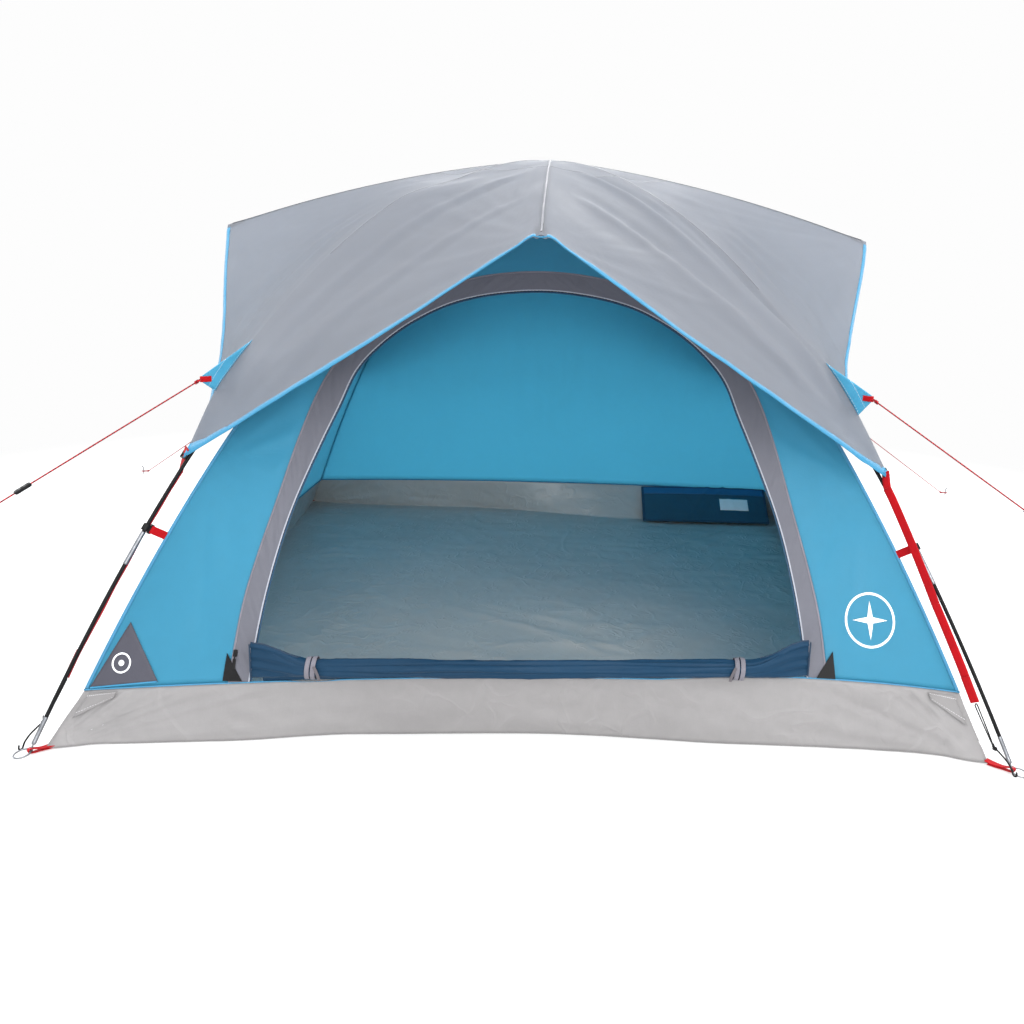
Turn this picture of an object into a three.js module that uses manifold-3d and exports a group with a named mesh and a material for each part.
// Three-person dome tent: square bathtub floor, inner tent of four curved walls hung from
// two crossing shock-corded poles, and a star-shaped fly with four corners and four peaks.
// Millimetres, +Z up, origin on the ground at the centre of the floor. The doorway faces -Y,
// so front is -Y, back +Y, left -X and right +X.
import * as THREE from "three";
import { mergeVertices } from "three/addons/utils/BufferGeometryUtils.js";
import Module from "manifold-3d";

const wasm = await Module();
wasm.setup();
const { clamp, smoothstep, mapLinear, degToRad } = THREE.MathUtils;
const vec = (x, y, z) => new THREE.Vector3(x, y, z);
const vec2 = (x, y) => new THREE.Vector2(x, y);

// ---------------------------------------------------------------- driving dimensions
const FOOT = 1050; // half distance between neighbouring pole feet, on X and on Y
const REACH = FOOT * Math.SQRT2; // plan distance from the centre to a pole foot
const POLE_A_TOP = 1311; // centre line of the lower pole at the crossing
const POLE_B_TOP = 1320.3; // centre line of the upper pole at the crossing
const POLE_SHAPE = 0.05; // fullness of the pole's arch
const POLE_END_GAP = 22; // the pole stops this far up its arc, above the ring

const WALL_GAP = 50; // the inner tent hangs this far inside the poles
const WALL_T = 2.4;
const WALL_TOP_HALF = 15; // half side of the small square opening at the apex
const TUB_T = 3;

const FLY_TOP = 1342; // mid surface of the fly at the apex
const PEAK = 960; // plan distance from the centre to each awning peak
const RIDGE_SLOPE = 0.1;
const RIDGE_LEFT_B = 0.0000145; // extra curvature of the left side ridge

const STRAP_W = 20;
const STRAP_T = 1.8;
const TAB_TIP = { out: 1075, z: 766 }; // plan distance and height of the guy tab's tip

// ---------------------------------------------------------------- materials
const finishes = {
  fly: { color: 0x989fa8, roughness: 0.62, metalness: 0 },
  wall: { color: 0x3fa2d2, roughness: 0.6, metalness: 0 },
  tub: { color: 0xaeaaaa, roughness: 0.65, metalness: 0 },
  binding: { color: 0x6f727e, roughness: 0.7, metalness: 0 },
  navy: { color: 0x1f4a66, roughness: 0.7, metalness: 0 },
  pocket: { color: 0x17384f, roughness: 0.8, metalness: 0 },
  pole: { color: 0x17171a, roughness: 0.35, metalness: 0 },
  steel: { color: 0xc4c6c8, roughness: 0.28, metalness: 0.9 },
  red: { color: 0xd8232b, roughness: 0.7, metalness: 0 },
  black: { color: 0x141416, roughness: 0.5, metalness: 0 },
  cord: { color: 0xc23a3c, roughness: 0.75, metalness: 0 },
  white: { color: 0xe8e8e8, roughness: 0.7, metalness: 0 },
};
const root = new THREE.Group();
function put(name, geometry, finish) {
  const mesh = new THREE.Mesh(geometry, new THREE.MeshStandardMaterial(finishes[finish]));
  mesh.name = name;
  root.add(mesh);
}

// ---------------------------------------------------------------- solids
// The geometry with positions only, and its coincident points merged.
function bare(geometry) {
  const loose = geometry.index ? geometry.toNonIndexed() : geometry;
  const position = loose.getAttribute("position");
  return mergeVertices(new THREE.BufferGeometry().setAttribute("position", position), 1e-4);
}
function volumeOf(geometry) {
  const position = geometry.getAttribute("position"), index = geometry.index.array;
  const corners = [vec(), vec(), vec()];
  let volume = 0;
  for (let i = 0; i < index.length; i += 3) {
    corners.forEach((point, k) => point.fromBufferAttribute(position, index[i + k]));
    volume += corners[0].dot(corners[1].clone().cross(corners[2])) / 6;
  }
  return volume;
}
function faceOut(geometry) {
  const result = bare(geometry);
  if (volumeOf(result) < 0) {
    const index = result.index.array;
    for (let i = 0; i < index.length; i += 3) {
      [index[i + 1], index[i + 2]] = [index[i + 2], index[i + 1]];
    }
  }
  return result;
}
function solid(geometry) {
  const closed = faceOut(geometry);
  return new wasm.Manifold(new wasm.Mesh({
    numProp: 3,
    vertProperties: new Float32Array(closed.attributes.position.array),
    triVerts: new Uint32Array(closed.index.array),
  }));
}
function geometryOf(manifold) {
  const mesh = manifold.getMesh();
  return new THREE.BufferGeometry()
    .setAttribute("position", new THREE.BufferAttribute(new Float32Array(mesh.vertProperties), 3))
    .setIndex(new THREE.BufferAttribute(new Uint32Array(mesh.triVerts), 1));
}
const join = (...parts) => geometryOf(parts.map(solid).reduce((a, b) => a.add(b)));
const cut = (body, tool) => geometryOf(solid(body).subtract(solid(tool)));

// A sheet of columns x rows cells; place(i, j, face) gives each lattice point of faces 0 and 1.
function sheet(columns, rows, place) {
  const geometry = bare(new THREE.BoxGeometry(1, 1, 1, columns, rows, 1));
  const position = geometry.getAttribute("position"), index = geometry.index.array;
  // each cell's diagonal runs out from the middle of the sheet
  for (let k = 0; k < index.length; k += 6) {
    const [a, b, d] = index.slice(k, k + 3), c = index[k + 4];
    const xb = position.getX(b), xd = position.getX(d);
    const yb = position.getY(b), yd = position.getY(d);
    if ((xb - xd) * (yb - yd) * ((xb + xd) * (yb + yd)) < 0) index.set([a, b, c, a, c, d], k);
  }
  for (let k = 0; k < position.count; k++) {
    const i = Math.round((position.getX(k) + 0.5) * columns);
    const j = Math.round((position.getY(k) + 0.5) * rows);
    const point = place(i, j, position.getZ(k) > 0 ? 1 : 0);
    position.setXYZ(k, point.x, point.y, point.z);
  }
  return faceOut(geometry);
}
// A turned profile of [radius, distance] points, bent so that its axis follows a curve.
// Distance is measured along the curve from its start; sideways lies square to the bend.
function bentTurning(profile, segments, curve, sideways) {
  const points = profile.map(([radius, distance]) => vec2(radius, distance));
  const geometry = bare(new THREE.LatheGeometry(points, segments));
  const total = curve.getLength();
  const position = geometry.getAttribute("position");
  for (let k = 0; k < position.count; k++) {
    const distance = position.getY(k), u = clamp(distance / total, 0, 1);
    const point = curve.getPointAt(u), tangent = curve.getTangentAt(u);
    const side = squareTo(sideways, tangent);
    const normal = side.clone().cross(tangent);
    point.addScaledVector(tangent, distance - u * total);
    point.addScaledVector(normal, position.getX(k)).addScaledVector(side, position.getZ(k));
    position.setXYZ(k, point.x, point.y, point.z);
  }
  return faceOut(geometry);
}
// The direction made square to a unit tangent.
function squareTo(direction, tangent) {
  return direction.clone().addScaledVector(tangent, -direction.dot(tangent)).normalize();
}
// A flat strap along a list of points, its width lying along one direction.
function ribbon(points, widthDirection) {
  const last = points.length - 1;
  return sheet(last, 1, (i, j, face) => {
    const next = points[Math.min(i + 1, last)], previous = points[Math.max(i - 1, 0)];
    const tangent = next.clone().sub(previous).normalize();
    const across = squareTo(widthDirection, tangent);
    const up = tangent.clone().cross(across);
    return points[i].clone()
      .addScaledVector(across, (j - 0.5) * STRAP_W)
      .addScaledVector(up, (face - 0.5) * STRAP_T);
  });
}
// A round cord along a smooth line through points.
function cord(points, radius, sides, steps) {
  const shape = new THREE.Shape();
  shape.moveTo(radius, 0);
  for (let k = 1; k < sides; k++) {
    const angle = (2 * Math.PI * k) / sides;
    shape.lineTo(radius * Math.cos(angle), radius * Math.sin(angle));
  }
  shape.closePath();
  const extrudePath = new THREE.CatmullRomCurve3(points, false, "catmullrom");
  return new THREE.ExtrudeGeometry(shape, { steps, extrudePath, bevelEnabled: false });
}
const straight = (start, end, radius, sides) => cord([start, end], radius, sides, 1);
// An extruded shape, centred on its own plane.
function extrude(shape, depth, curveSegments) {
  const options = { depth, bevelEnabled: false, curveSegments };
  return new THREE.ExtrudeGeometry(shape, options).translate(0, 0, -depth / 2);
}
// Moves a geometry onto a frame given by its x and y directions and its origin.
function setOn(geometry, xDir, yDir, origin) {
  const frame = new THREE.Matrix4().makeBasis(xDir, yDir, xDir.clone().cross(yDir));
  return geometry.applyMatrix4(frame.setPosition(origin));
}

// ---------------------------------------------------------------- corners and pole lines
// out points from the centre to the corner; across is horizontal and square to it,
// clockwise seen from above.
const corner = (name, signX, signY) => ({
  name, signX, signY,
  out: vec(signX, signY, 0).normalize(),
  across: vec(signY, -signX, 0).normalize(),
});
const CORNERS = {
  frontLeft: corner("front_left", -1, -1),
  frontRight: corner("front_right", 1, -1),
  backRight: corner("back_right", 1, 1),
  backLeft: corner("back_left", -1, 1),
};
const onPoleB = (signX, signY) => signX * signY > 0; // pole B joins front left and back right

// A curve in the upright plane of a direction, with a height for each plan distance.
class ArchLine extends THREE.Curve {
  constructor(direction, reach, heightAt, divisions) {
    super();
    Object.assign(this, { direction, reach, heightAt, arcLengthDivisions: divisions });
  }
  getPoint(t, target = vec()) {
    const s = (2 * t - 1) * this.reach;
    return target.set(this.direction.x * s, this.direction.y * s, this.heightAt(s));
  }
}
function poleZ(s, top) {
  const t = s / REACH;
  return top * (1 - t * t) * (1 + POLE_SHAPE * t * t);
}
const poleSlope = (s, top) => poleZ(s + 0.5, top) - poleZ(s - 0.5, top);
const poleLine = (direction, top) => new ArchLine(direction, REACH, (s) => poleZ(s, top), 1200);
// both poles start at a left corner
const poles = {
  a: { curve: poleLine(CORNERS.frontRight.out, POLE_A_TOP), side: CORNERS.backRight.out },
  b: { curve: poleLine(CORNERS.backRight.out, POLE_B_TOP), side: CORNERS.backLeft.out },
};
// Point, outward normal and direction towards the foot, at a distance up the arc from a foot.
function atArc({ signX, signY, across }, arc) {
  const { curve } = onPoleB(signX, signY) ? poles.b : poles.a;
  const u = signX < 0 ? arc / curve.getLength() : 1 - arc / curve.getLength();
  const along = curve.getTangentAt(u).multiplyScalar(signX);
  return { point: curve.getPointAt(u), along, normal: across.clone().cross(along).normalize() };
}

// ---------------------------------------------------------------- main poles
const POLE_R = 4.25;
const POLE_BORE = 2.4; // radius
const SLEEVE_R = 5.3; // ferrule, outside
const SLEEVE_IN = 4.75; // ferrule, inside
const SLEEVE_HALF = 39;
const TIP_R = 4.8;
const TIP_LEN = 60;
const FOOT_SECTION = 470; // arc at which the first section ends; the last one mirrors it
const SECTIONS = 7;
const JOINT_HALF_GAP = 0.3;
const BEND_STEP = 130; // rough distance between the stations where a tube bends
const SHOCK_CORD = { radius: 1.2, endArc: 75, clear: 8 }; // clear: no station this near an end

// Adds one section between two arcs and returns the stations where it bends.
function addSection(key, number, from, to) {
  const first = number === 1, last = number === SECTIONS;
  const start = first ? from : from + JOINT_HALF_GAP;
  const end = last ? to : to - JOINT_HALF_GAP;
  const bendFrom = from + (first ? TIP_LEN : SLEEVE_HALF);
  const bendTo = to - (last ? TIP_LEN : SLEEVE_HALF);
  const steps = Math.max(1, Math.round((bendTo - bendFrom) / BEND_STEP));
  const bends = [bendFrom];
  for (let i = 1; i <= steps; i++) bends.push(bendFrom + ((bendTo - bendFrom) * i) / steps);
  const stations = [start, ...bends, end];

  const profile = first ? [[TIP_R, start], [TIP_R, bendFrom]] : [[POLE_R, start]];
  profile.push(...bends.map((arc) => [POLE_R, arc]));
  if (last) profile.push([TIP_R, bendTo], [TIP_R, end]);
  else {
    profile.push([SLEEVE_R, bendTo], [SLEEVE_R, to], [SLEEVE_R, to + SLEEVE_HALF]);
    profile.push([SLEEVE_IN, to + SLEEVE_HALF], [SLEEVE_IN, end]);
  }
  profile.push(...[...stations].reverse().map((arc) => [POLE_BORE, arc]), profile[0]);
  const { curve, side } = poles[key];
  put(`pole_${key}_section_${number}`, bentTurning(profile, 6, curve, side), "pole");
  return stations;
}
function addPole(key) {
  const { curve, side } = poles[key];
  const total = curve.getLength();
  const middle = (total - 2 * FOOT_SECTION) / (SECTIONS - 2);
  const joints = [POLE_END_GAP];
  for (let k = 0; k < SECTIONS - 1; k++) joints.push(FOOT_SECTION + k * middle);
  joints.push(total - POLE_END_GAP);
  const stations = [];
  for (let k = 0; k < SECTIONS; k++) {
    stations.push(...addSection(key, k + 1, joints[k], joints[k + 1]));
  }
  // the cord inside bends where the tubes do
  const { radius, endArc, clear } = SHOCK_CORD, farArc = total - endArc;
  const between = stations.filter((arc) => arc > endArc + clear && arc < farArc - clear);
  const rim = [endArc, ...between, farArc].map((arc) => [radius, arc]);
  const profile = [[0, endArc], ...rim, [0, farArc]];
  put(`shock_cord_${key}`, bentTurning(profile, 5, curve, side), "white");
}

// ---------------------------------------------------------------- inner tent walls
// height of the tub seam at the ends of each side, anticlockwise seen from above
const SEAM_ENDS = { front: [107, 139], right: [139, 113], back: [113, 113], left: [113, 107] };
const SEAM_RISE = { front: 27, back: 18, left: 14, right: 14 }; // rise between the ends
const DOOR_SLACK = { rise: 12, centre: 0.65, half: 0.35 }; // extra rise right of the doorway
const SEAM_CLEAR = 1.7; // the walls start this far above the seam
const MITRE_GAP = 0.35;
const TURN = { front: 0, right: Math.PI / 2, back: Math.PI, left: -Math.PI / 2 };
const WALL_COLUMNS = 12;

// half width and height of the inner tent's outline, from the apex down
const wallProfile = [];
for (let k = 0; k <= 400; k++) {
  const top = (POLE_A_TOP + POLE_B_TOP) / 2, s = (REACH * k) / 400;
  const slope = Math.abs(poleSlope(s, top)), stretch = Math.hypot(1, slope);
  wallProfile.push({
    x: (s - (WALL_GAP * slope) / stretch) / Math.SQRT2,
    z: poleZ(s, top) - WALL_GAP / stretch,
  });
}
function alongProfile(value, from, to) {
  const next = wallProfile.findIndex((row, k) =>
    k > 0 && (value - wallProfile[k - 1][from]) * (value - row[from]) <= 0);
  const above = wallProfile[next - 1], below = wallProfile[next];
  return mapLinear(value, above[from], below[from], above[to], below[to]);
}
const wallX = (z) => (z > wallProfile[0].z ? 0 : alongProfile(z, "z", "x"));
const wallZ = (x) => alongProfile(x, "x", "z");
const WALL_TOP_Z = wallZ(WALL_TOP_HALF);

// tau runs -1..1 from corner to corner, anticlockwise seen from above
function seamZ(side, tau) {
  const [start, end] = SEAM_ENDS[side], { rise, centre, half } = DOOR_SLACK;
  const slack = side === "front" ? rise * Math.max(0, 1 - ((tau - centre) / half) ** 2) : 0;
  return start + ((end - start) * (tau + 1)) / 2 + SEAM_RISE[side] * (1 - tau * tau) + slack;
}
// Point on a wall; offset is outward from the outer face.
function onWall(side, tau, z, offset) {
  const slope = wallX(z - 0.5) - wallX(z + 0.5), stretch = Math.hypot(1, slope);
  const out = wallX(z) + offset / stretch;
  const sideways = (out - MITRE_GAP) * tau; // mitred at the corner seams
  return vec(sideways, -out, z + (offset * slope) / stretch)
    .applyAxisAngle(vec(0, 0, 1), TURN[side]);
}
function wallPanel(side, rows, inner, outer) {
  return sheet(WALL_COLUMNS, rows, (i, j, face) => {
    const tau = -1 + (2 * i) / WALL_COLUMNS;
    const seam = seamZ(side, tau) + SEAM_CLEAR, seamX = wallX(seam);
    const z = j === 0 ? seam : wallZ(seamX + (WALL_TOP_HALF - seamX) * (j / rows));
    return onWall(side, tau, z, face ? outer : inner);
  });
}
const frontPanel = (inner, outer) => wallPanel("front", 11, inner, outer);
// An [x, z] outline on the front, carried through the front wall along Y.
function frontPrism(outline) {
  const shape = new THREE.Shape(outline.map(([x, z]) => vec2(x, z)));
  return extrude(shape, 900).rotateX(Math.PI / 2).translate(0, -750, 0);
}

// ---------------------------------------------------------------- doorway
// right half outlines, [x, z], from the foot up to the crown at x = 0
const DOOR_INNER = [
  [613, 60], [613, 146], [600, 275], [577, 400], [550, 500], [508, 615], [474, 700],
  [444, 778], [398, 835], [333, 888], [250, 933], [170, 958], [83, 972], [0, 977],
];
const DOOR_OUTER = [
  [660, 60], [658, 146], [645, 280], [622, 388], [592, 502], [561, 625], [530, 725],
  [497, 792], [436, 863], [350, 927], [265, 972], [182, 1003], [90, 1019], [0, 1024],
];
const BINDING_GAP = 0.6; // between the wall and the binding
const PORT_PATCH = [[-885, 243], [-957, 112], [-812, 127]]; // x, z

function doorPrism(half) {
  const mirrored = half.slice(0, -1).reverse().map(([x, z]) => [-x, z]);
  return solid(frontPrism([...half, ...mirrored]));
}
// The outline drawn in sideways all round, and downwards more and more above z = 500.
const drawIn = (half, gap) => half.map(([x, z], k) => [
  x <= 0 ? 0 : x - gap,
  k < 2 ? z : z - gap * clamp((z - 500) / 400, 0, 1),
]);
function addFrontWall() {
  const full = solid(frontPanel(-WALL_T, 0));
  put("wall_front", geometryOf(full.subtract(doorPrism(DOOR_OUTER))), "wall");
  const band = full.intersect(doorPrism(drawIn(DOOR_OUTER, BINDING_GAP)));
  put("door_binding", geometryOf(band.subtract(doorPrism(DOOR_INNER))), "binding");
}
// Triangular patch laid on the left corner of the front wall.
function portPatch() {
  return geometryOf(solid(frontPanel(0.4, 1.9)).intersect(solid(frontPrism(PORT_PATCH))));
}

// ---------------------------------------------------------------- groundsheet tub
const TUB_CELLS = 12;
const TUB_FLARE = 10; // how far the floor reaches out at its corners
// how far the floor's edges curve in; backRight adds to the right part of the back edge
const TUB_HOLLOW = { front: 55, side: 30, back: 20, backRight: 125 };
// corner webbing, [distance beyond the wall's corner, z]
const WEBBING = [[-12, 1.4], [2, 1.4], [26, 1.8], [45, 3.4]];

// How far the cloth stands in from the wall's line, at the floor; t runs -1..1 along +X or +Y.
function tubHollow(side, t) {
  if (side === "front") return TUB_HOLLOW.front * (1 - t * t);
  if (side !== "back") return TUB_HOLLOW.side * (1 - t * t);
  const right = TUB_HOLLOW.backRight * smoothstep((t + 0.35) / 0.75, 0, 1);
  return (TUB_HOLLOW.back + right) * (1 - t ** 10);
}
// The outermost two rings of cells stand up as the tub's side; the rest is the floor.
function tubPoint(i, j, face) {
  const half = TUB_CELLS / 2, column = i - half, row = j - half;
  const fromEdge = Math.min(i, j, TUB_CELLS - i, TUB_CELLS - j), ring = half - fromEdge;
  const onX = Math.abs(column) === ring;
  const frontOrBack = row < 0 ? "front" : "back", leftOrRight = column < 0 ? "left" : "right";
  const side = onX ? leftOrRight : frontOrBack;
  const tx = ring ? column / ring : 0, ty = ring ? row / ring : 0;
  const along = onX ? ty : tx;
  const top = seamZ(side, side === "back" || side === "left" ? -along : along);

  const onFloor = fromEdge >= 2;
  const z = onFloor ? 0 : fromEdge === 1 ? top * 0.5 : top;
  const low = 1 - z / top;
  const share = onFloor ? ring / (half - 2) : 1;
  const edgeInset = fromEdge === 2 ? TUB_T / Math.SQRT2 : fromEdge < 2 ? TUB_T : 0;
  const inset = face ? edgeInset : 0; // face 1 is the inside of the tub
  const wide = (wallX(z) + low * TUB_FLARE) * share - inset;
  const reach = wallX(z) + low * (TUB_FLARE * along ** 8 - tubHollow(side, along));
  const deep = reach * share - inset;
  const height = onFloor && face ? TUB_T : z;
  return onX ? vec(tx * deep, ty * wide, height) : vec(tx * wide, ty * deep, height);
}
function groundsheetTub() {
  const wallCorner = wallX(0) * Math.SQRT2;
  const webbing = Object.values(CORNERS).map(({ out, across }) => {
    const points = WEBBING.map(([beyond, z]) =>
      out.clone().multiplyScalar(wallCorner + beyond).setZ(z));
    return ribbon(points, across.clone().negate());
  });
  return join(sheet(TUB_CELLS, TUB_CELLS, tubPoint), ...webbing);
}

// ---------------------------------------------------------------- storage pocket
// open-topped pocket inside the tub's back wall; low and high are the edges of its back
const POCKET = {
  left: 400, right: 925, low: { y: 800, z: 14 }, high: { y: 942, z: 118 },
  thick: 9, hollow: 5.4, rim: 3, sideGap: 20,
};
function storagePocket() {
  const { left, right, low, high, thick, hollow, rim, sideGap } = POCKET;
  const rise = high.z - low.z, run = high.y - low.y, width = right - left;
  const lean = Math.atan2(run, rise), tall = Math.hypot(run, rise);
  const body = new THREE.BoxGeometry(width, thick, tall);
  const inside = new THREE.BoxGeometry(width - 2 * rim, hollow, tall).translate(0, 0, rim);
  const pocket = cut(body, inside).rotateX(-lean).translate(
    0,
    (low.y + high.y) / 2 - (thick / 2) * Math.cos(lean),
    (low.z + high.z) / 2 + (thick / 2) * Math.sin(lean),
  );
  // follows the slope of the corner, so it stays off the side wall
  const position = pocket.getAttribute("position");
  for (let k = 0; k < position.count; k++) {
    const limit = Math.min(right, wallX(Math.max(0, position.getZ(k))) - TUB_T - sideGap);
    position.setX(k, left + (limit - left) * (position.getX(k) / width + 0.5));
  }
  return pocket;
}

// ---------------------------------------------------------------- rolled door
const ROLL = { y: -966, radius: 19.5, steps: 24 };
// centre line of the roll, [x, z]
const ROLL_LINE = [
  [-598, 171], [-548, 170], [-450, 170], [-250, 173.5], [0, 179],
  [250, 184], [450, 188.5], [548, 196], [598, 202],
];
// the ends spread into a flat fan between these x, by these changes of depth and height
const ROLL_FAN = { from: 478, to: 600, thinner: 0.75, taller: 0.88 };
const TIE = { y: -965, outer: 24.6, inner: 22.6, width: 22 };

// Radius and distance points of a plain rod with flat ends.
function rodProfile(total, steps, radiusAt) {
  const profile = [[0, 0]];
  for (let i = 0; i <= steps; i++) profile.push([radiusAt(i), (total * i) / steps]);
  profile.push([0, total]);
  return profile;
}
function rollHeight(x) {
  const inside = clamp(x, ROLL_LINE[0][0], ROLL_LINE[ROLL_LINE.length - 1][0]);
  const next = Math.max(1, ROLL_LINE.findIndex((point) => point[0] >= inside));
  const [x0, z0] = ROLL_LINE[next - 1], [x1, z1] = ROLL_LINE[next];
  return mapLinear(inside, x0, x1, z0, z1);
}
function doorRoll() {
  const curve = new THREE.CatmullRomCurve3(ROLL_LINE.map(([x, z]) => vec(x, ROLL.y, z)));
  const profile = rodProfile(curve.getLength(), ROLL.steps, () => ROLL.radius);
  const roll = bentTurning(profile, 8, curve, vec(0, 1, 0));
  const position = roll.getAttribute("position");
  for (let k = 0; k < position.count; k++) {
    const x = position.getX(k), centre = rollHeight(x);
    const fan = smoothstep(Math.abs(x), ROLL_FAN.from, ROLL_FAN.to);
    position.setY(k, ROLL.y + (position.getY(k) - ROLL.y) * (1 - ROLL_FAN.thinner * fan));
    position.setZ(k, centre + (position.getZ(k) - centre) * (1 + ROLL_FAN.taller * fan));
  }
  return roll;
}
function tieLoop(x, z) {
  const ring = new THREE.Shape(), hole = new THREE.Path();
  ring.absarc(0, 0, TIE.outer, 0, 2 * Math.PI);
  hole.absarc(0, 0, TIE.inner, 0, 2 * Math.PI, true);
  ring.holes.push(hole);
  return faceOut(extrude(ring, TIE.width, 8).rotateY(Math.PI / 2).translate(x, TIE.y, z));
}
function zipSlider() {
  const x = -650, z = 186;
  const lean = Math.atan2(wallX(z - 5) - wallX(z + 5), 10);
  const car = new THREE.BoxGeometry(9, 5, 15).translate(0, -3.1, 0);
  const pull = new THREE.BoxGeometry(7, 1.6, 34).translate(0, -5.9, -19);
  return join(car, pull).rotateX(-lean).translate(x, -wallX(z), z);
}

// ---------------------------------------------------------------- apex hook
// A plate under the inner tent's top, a stem, and a cradle open upwards under the lower pole.
function apexHook() {
  const cradleOuter = 8.2, cradleInner = 5.2, plateT = 2;
  const stemFrom = WALL_TOP_Z - plateT / 2, stemTo = POLE_A_TOP - 7;
  const plate = new THREE.CylinderGeometry(13, 13, plateT, 10)
    .rotateX(Math.PI / 2).translate(0, 0, stemFrom);
  const stem = new THREE.CylinderGeometry(3, 3, stemTo - stemFrom, 8)
    .rotateX(Math.PI / 2).translate(0, 0, (stemFrom + stemTo) / 2);
  const shape = new THREE.Shape();
  shape.absarc(0, 0, cradleOuter, Math.PI, 2 * Math.PI);
  shape.lineTo(cradleInner, 0);
  shape.absarc(0, 0, cradleInner, 2 * Math.PI, Math.PI, true);
  shape.closePath();
  const { out } = CORNERS.frontRight;
  const cradle = extrude(shape, 12, 8).rotateX(Math.PI / 2)
    .rotateZ(Math.atan2(out.y, out.x) + Math.PI / 2).translate(0, 0, POLE_A_TOP);
  return join(plate, stem, cradle);
}

// ---------------------------------------------------------------- fly sheet
const FLY_T = 2.4;
const FLY_CELLS = 20;
const FLY_LIFT = 9; // mid surface of the fly above the pole centre line
const APEX_SPREAD = 260; // plan distance over which the apex's extra height fades
const FLY_CORNER = 797; // x and y of each fly corner
const FLY_CORNER_FR = 806; // the front right one reaches a little further
const CREST_LEFT = 29; // the front left crest of the fly stands this far off its pole
const CREST_RIGHT = 25; // the front right one does so only near its guy tab
const CREST_RIGHT_END = 8; // and rises this much more towards its corner
const RIDGE_ROUND = 60; // rounds the ridge's slope over the apex
const RIDGE_SIDE_B = 0.0001235; // curvature of the side ridges
const RIDGE_FRONT_B = 0.0001541; // curvature of the front and back ridges
const EDGE_HOLLOW = 14; // how far the front and back free edges of the fly curve in
const SIDE_HOLLOW = 100; // the same for the side edges, as a factor
const SIDE_HOLLOW_FR = 205; // and for the front half of the right side edge
const TAB_FROM = 950; // the tab is sewn to the crest between these plan distances
const TAB_TO = 1047;
const TAB_TIP_HALF = 8; // half height of the tab at its tip
const TAB_T = 2;

function ridgeZ(x, top, curvature) {
  const run = Math.sqrt(x * x + RIDGE_ROUND ** 2) - RIDGE_ROUND;
  return top - RIDGE_SLOPE * run - curvature * x * x;
}
// side ridge: its left half bends a little more
const sideRidgeZ = (x, top, curvature) =>
  ridgeZ(x, top, curvature + (x < 0 ? RIDGE_LEFT_B : 0));

// How far the crest of the fly is drawn off its pole, at plan distance s.
function crestLift(signX, signY, s) {
  if (signY > 0) return 0;
  if (signX < 0) {
    return CREST_LEFT * smoothstep((s - 330) / 230, 0, 1) * smoothstep((1140 - s) / 110, 0, 1);
  }
  const bump = CREST_RIGHT * Math.exp(-(((s - 975) / 110) ** 2));
  return bump + CREST_RIGHT_END * smoothstep((s - 950) / 150, 0, 1);
}
function crestZ(s, signX, signY) {
  const top = onPoleB(signX, signY) ? POLE_B_TOP : POLE_A_TOP;
  const lift = (FLY_LIFT + crestLift(signX, signY, s)) * Math.hypot(1, poleSlope(s, top));
  const apex = (FLY_TOP - top - FLY_LIFT) * Math.exp(-((s / APEX_SPREAD) ** 2));
  return poleZ(s, top) + lift + apex;
}
const isFrontRight = (signX, signY) => signX > 0 && signY < 0;
const flyCorner = (signX, signY) => (isFrontRight(signX, signY) ? FLY_CORNER_FR : FLY_CORNER);

// Mid surface at a, b in -1..1: ridges on the axes, poles on the diagonals.
function flyPoint(a, b) {
  const rho = Math.max(Math.abs(a), Math.abs(b));
  if (rho === 0) return vec(0, 0, FLY_TOP);
  const onX = Math.abs(a) >= Math.abs(b);
  const v = Math.min(Math.abs(a), Math.abs(b)) / rho; // 0 on a ridge, 1 over a pole
  const signX = Math.sign(a) || 1, signY = Math.sign(b) || 1;
  const x = signX * PEAK * rho, y = signY * PEAK * rho;
  const ridge = onX
    ? vec(x, 0, sideRidgeZ(x, FLY_TOP, RIDGE_SIDE_B))
    : vec(0, y, ridgeZ(y, FLY_TOP, RIDGE_FRONT_B));
  const reach = flyCorner(signX, signY) * rho;
  const crest = vec(signX * reach, signY * reach, crestZ(reach * Math.SQRT2, signX, signY));
  const outward = (onX ? vec(signX, signY / 2, 0) : vec(signX / 2, signY, 0)).normalize();
  const sideHollow = isFrontRight(signX, signY) ? SIDE_HOLLOW_FR : SIDE_HOLLOW;
  const hollow = onX
    ? sideHollow * v ** 1.4 * (1 - v ** 3) * rho ** 3
    : EDGE_HOLLOW * 4 * v * (1 - v) * rho ** 4;
  return ridge.lerp(crest, v).addScaledVector(outward, -hollow);
}
function flyShell() {
  const step = 0.004; // for the surface's tangents
  const at = (a, b) => flyPoint(clamp(a, -1, 1), clamp(b, -1, 1));
  return sheet(FLY_CELLS, FLY_CELLS, (i, j, face) => {
    const a = -1 + (2 * i) / FLY_CELLS, b = -1 + (2 * j) / FLY_CELLS;
    const alongX = at(a + step, b).sub(at(a - step, b));
    const alongY = at(a, b + step).sub(at(a, b - step));
    const normal = alongX.cross(alongY).normalize();
    return flyPoint(a, b).addScaledVector(normal, (face - 0.5) * FLY_T);
  });
}
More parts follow.
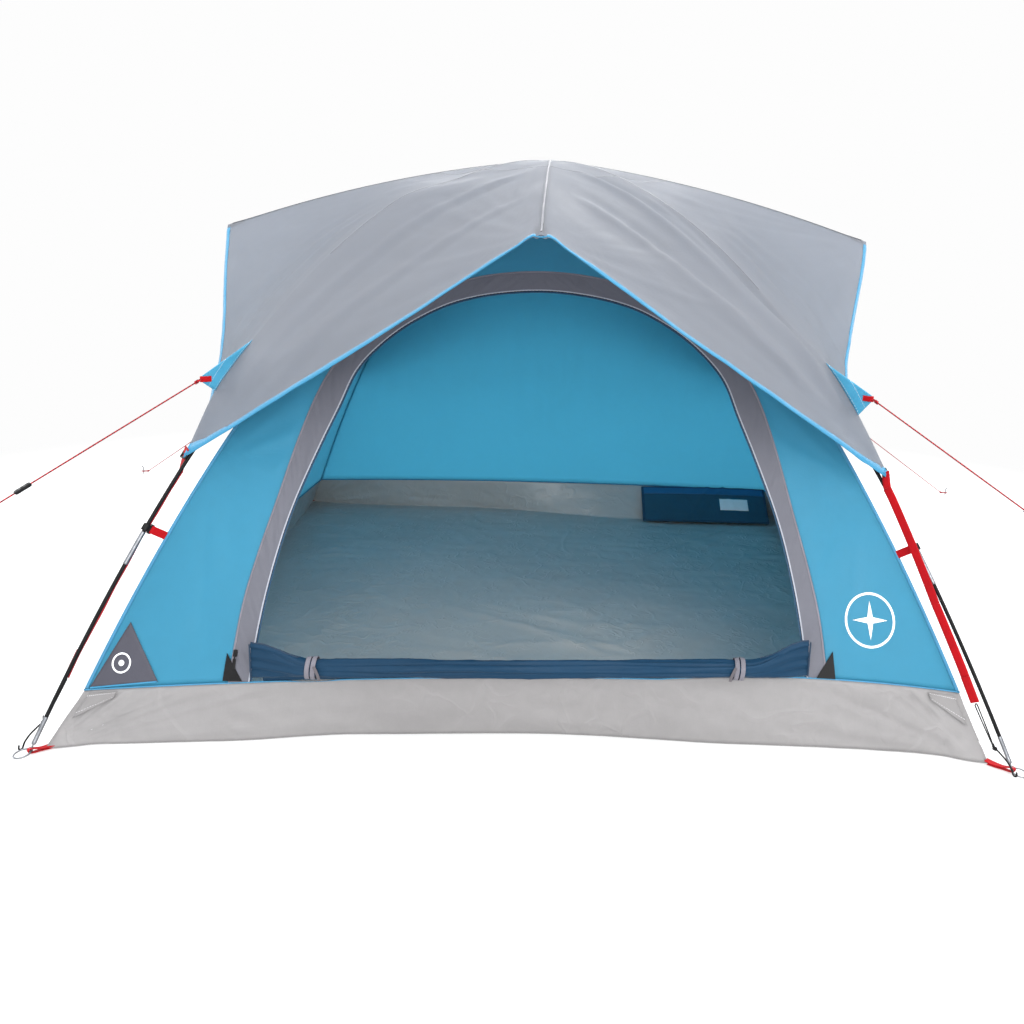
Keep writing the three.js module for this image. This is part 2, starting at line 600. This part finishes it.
// Upright tab in the plane of a diagonal, sewn to the faceted crest.
function guyTab({ signX, signY, out }) {
  const reach = flyCorner(signX, signY) * Math.SQRT2, cells = FLY_CELLS / 2;
  const latticeZ = (k) => crestZ((k / cells) * reach, signX, signY);
  const onCrest = (s) => {
    const place = (s / reach) * cells, cell = Math.floor(place);
    const z0 = latticeZ(cell), z1 = latticeZ(cell + 1);
    return vec2(s, z0 + (place - cell) * (z1 - z0) - 0.3);
  };
  const shape = new THREE.Shape([
    onCrest(TAB_FROM),
    onCrest(reach * (1 - 1 / cells)),
    onCrest(TAB_TO),
    vec2(TAB_TIP.out, TAB_TIP.z - TAB_TIP_HALF),
    vec2(TAB_TIP.out, TAB_TIP.z + TAB_TIP_HALF),
  ]);
  return extrude(shape, TAB_T).rotateX(Math.PI / 2).rotateZ(Math.atan2(out.y, out.x));
}
const flyCanopy = () => join(flyShell(), ...Object.values(CORNERS).map(guyTab));

// ---------------------------------------------------------------- ridge poles under the fly
const RIDGE_POLE = { radius: 3.5, endRadius: 2.6, short: 12, steps: 20 }; // short of the peak
const SIDE_RIDGE_POLE = { top: 1328.6, curvature: 0.0001185 };
const FRONT_RIDGE_POLE = { top: 1336.1, curvature: 0.000156 };

function ridgePole(direction, side, heightAt, { top, curvature }) {
  const { radius, endRadius, short, steps } = RIDGE_POLE;
  const curve = new ArchLine(direction, PEAK - short, (x) => heightAt(x, top, curvature), 600);
  const radiusAt = (i) => (i === 0 || i === steps ? endRadius : radius);
  return bentTurning(rodProfile(curve.getLength(), steps, radiusAt), 6, curve, side);
}

// ---------------------------------------------------------------- corner rings and pole clips
const RING = { radius: 16.25, wire: 1.75, tilt: degToRad(8) };
const PIN = { radius: 1.5, inPole: 34, below: 12 };
const CLIP = { arc: 520, outer: 7.6, inner: 5, openHalf: 0.62, length: 16 };

// Ring with the pin that stands in the pole's open end.
function cornerRing(corner) {
  const { point, along } = atArc(corner, POLE_END_GAP);
  const pinTop = point.clone().addScaledVector(along, -PIN.inPole);
  const pinEnd = point.clone().addScaledVector(along, PIN.below);
  const flat = corner.out.clone().multiplyScalar(Math.cos(RING.tilt)).setZ(-Math.sin(RING.tilt));
  const centre = pinEnd.clone().addScaledVector(flat, RING.radius);
  const torus = new THREE.TorusGeometry(RING.radius, RING.wire, 5, 14);
  return join(
    setOn(torus, flat, corner.across, centre),
    straight(pinEnd, pinTop, PIN.radius, 6),
  );
}
// Clip round the pole, open outwards, with its webbing to the corner seam.
function poleClip(corner) {
  const from = Math.PI / 2 + CLIP.openHalf, to = Math.PI / 2 - CLIP.openHalf + 2 * Math.PI;
  const shape = new THREE.Shape();
  shape.absarc(0, 0, CLIP.outer, from, to);
  shape.absarc(0, 0, CLIP.inner, to, from, true);
  shape.closePath();
  const webbing = new THREE.BoxGeometry(2, 40.5, 18).translate(0, -27, 0);
  const { point, normal } = atArc(corner, CLIP.arc);
  return setOn(join(extrude(shape, CLIP.length, 7), webbing), corner.across, normal, point);
}

// ---------------------------------------------------------------- fly straps and hooks
// strap beside its pole: offsets sideways and inward, and its ends as arcs up from the foot
const STRAP = { side: 22, inward: 12, topArc: 664, endArc: 165, steps: 8 };
const ELASTIC_R = 1.4;
const KNOT = { below: 100, radius: 5 }; // below the strap's end
const HOOK_END = { out: 1497, side: 21.5, z: 8 };
// hook wire, [fraction of the way from knot to hook end, height off that line]
const HOOK_LINE = [[0, 0], [0.25, 3], [0.5, 4], [0.75, 1], [0.93, -5], [1, -1], [0.9, 6]];

function strapPath(corner) {
  const points = [];
  for (let i = 0; i <= STRAP.steps; i++) {
    const arc = STRAP.topArc + ((STRAP.endArc - STRAP.topArc) * i) / STRAP.steps;
    const { point, normal } = atArc(corner, arc);
    point.addScaledVector(corner.across, STRAP.side).addScaledVector(normal, -STRAP.inward);
    points.push(point);
  }
  return points;
}
// Elastic cord doubled from a bar at the strap's end to a knot, then the hook beside the ring.
function flyHook({ out, across }, path) {
  const [previous, end] = path.slice(-2);
  const direction = end.clone().sub(previous).normalize();
  const knot = end.clone().addScaledVector(direction, KNOT.below);
  const near = end.clone().addScaledVector(direction, 1.5);
  const beside = (point, offset) => point.clone().addScaledVector(across, offset);
  const halfway = near.clone().lerp(knot, 0.5);
  const strand = (sign) =>
    cord([beside(near, 5 * sign), beside(halfway, 4 * sign), knot], ELASTIC_R, 4, 2);
  const bar = straight(beside(near, -7), beside(near, 7), ELASTIC_R, 4);
  const ball = new THREE.IcosahedronGeometry(KNOT.radius, 0).translate(knot.x, knot.y, knot.z);

  const hookEnd = beside(out.clone().multiplyScalar(HOOK_END.out), HOOK_END.side);
  const down = hookEnd.setZ(HOOK_END.z).sub(knot); // from the knot to the hook's end
  const up = across.clone().cross(down).normalize();
  const wire = HOOK_LINE.map(([fraction, height]) =>
    knot.clone().addScaledVector(down, fraction).addScaledVector(up, height));
  return join(strand(-1), strand(1), bar, ball, cord(wire, 1.6, 5, 10));
}

// ---------------------------------------------------------------- guy lines, sliders and pegs
const LINE_R = 1.5;
const PEG_FRONT = { x: 1796, y: 1796 }; // distances of the pegs from the centre
const PEG_BACK = { x: 1932, y: 1445 };
const TAB_RING = { radius: 4.5, wire: 1.2, offset: 4.6 };
const PEG_LOOP = { radius: 17, long: 1.5, narrow: 0.62, before: 34, z: 16, centre: 22 };
const SLIDER_AT = 0.26; // fraction of the line from the tab
// peg wire, [distance away from the tent, z]
const PEG_WIRE = [[0, -150], [0, -60], [0, 20], [1.5, 30], [5, 35], [8.2, 31]];

// Where a corner's guy line runs, from its tab to just before its peg.
function guyRun({ signX, signY, out }) {
  const peg = signY < 0 ? PEG_FRONT : PEG_BACK;
  const pegFoot = vec(signX * peg.x, signY * peg.y, 0);
  const tip = out.clone().multiplyScalar(TAB_TIP.out + 3.2).setZ(TAB_TIP.z);
  const away = pegFoot.clone().sub(tip).setZ(0).normalize();
  const across = vec(-away.y, away.x, 0);
  const end = pegFoot.clone().addScaledVector(away, -PEG_LOOP.before).setZ(PEG_LOOP.z);
  return { pegFoot, tip, away, across, end, run: end.clone().sub(tip).normalize() };
}
function guyLine({ tip, away, across, end, run }) {
  const tabRing = new THREE.TorusGeometry(TAB_RING.radius, TAB_RING.wire, 4, 8);
  setOn(tabRing, run, across, tip.clone().addScaledVector(run, TAB_RING.offset));
  const loop = new THREE.TorusGeometry(PEG_LOOP.radius, LINE_R, 4, 12);
  loop.scale(PEG_LOOP.long, PEG_LOOP.narrow, 1);
  const loopDir = away.clone().setZ(-0.12).normalize();
  setOn(loop, loopDir, across, end.clone().addScaledVector(loopDir, PEG_LOOP.centre));
  return join(straight(tip, end, LINE_R, 5), tabRing, loop);
}
function guySlider({ tip, end, run, across }) {
  const block = new THREE.BoxGeometry(34, 13, 7);
  const bore = new THREE.CylinderGeometry(2.6, 2.6, 60, 8).rotateZ(Math.PI / 2);
  return setOn(cut(block, bore), run, across, tip.clone().lerp(end, SLIDER_AT));
}
function guyPeg({ pegFoot, away }) {
  const points = PEG_WIRE.map(([out, z]) => pegFoot.clone().setZ(z).addScaledVector(away, out));
  return faceOut(cord(points, 2, 6, 9));
}

// ---------------------------------------------------------------- assembly
function addCorner(corner) {
  const path = strapPath(corner), guy = guyRun(corner);
  put(`corner_ring_${corner.name}`, cornerRing(corner), "steel");
  put(`pole_clip_${corner.name}`, poleClip(corner), "black");
  put(`fly_strap_${corner.name}`, ribbon(path, corner.across), "red");
  put(`fly_hook_${corner.name}`, flyHook(corner, path), "black");
  put(`guy_line_${corner.name}`, guyLine(guy), "cord");
  put(`guy_slider_${corner.name}`, guySlider(guy), "black");
  put(`guy_peg_${corner.name}`, guyPeg(guy), "steel");
}
const X = vec(1, 0, 0), Y = vec(0, 1, 0);

addPole("a");
addPole("b");
addFrontWall();
for (const side of ["back", "left", "right"]) {
  put(`wall_${side}`, wallPanel(side, 9, -WALL_T, 0), "wall");
}
put("cable_port_patch", portPatch(), "binding");
put("groundsheet_tub", groundsheetTub(), "tub");
put("storage_pocket", storagePocket(), "pocket");
put("door_roll", doorRoll(), "navy");
put("tie_loop_left", tieLoop(-476, 170.2), "binding");
put("tie_loop_right", tieLoop(454, 189), "binding");
put("zip_slider", zipSlider(), "black");
put("apex_hook", apexHook(), "black");
put("fly_canopy", flyCanopy(), "fly");
put("ridge_pole_side", ridgePole(X, Y, sideRidgeZ, SIDE_RIDGE_POLE), "pole");
put("ridge_pole_front", ridgePole(Y, X, ridgeZ, FRONT_RIDGE_POLE), "pole");
addCorner(CORNERS.frontLeft);
addCorner(CORNERS.frontRight);
addCorner(CORNERS.backLeft);
addCorner(CORNERS.backRight);

export default root;
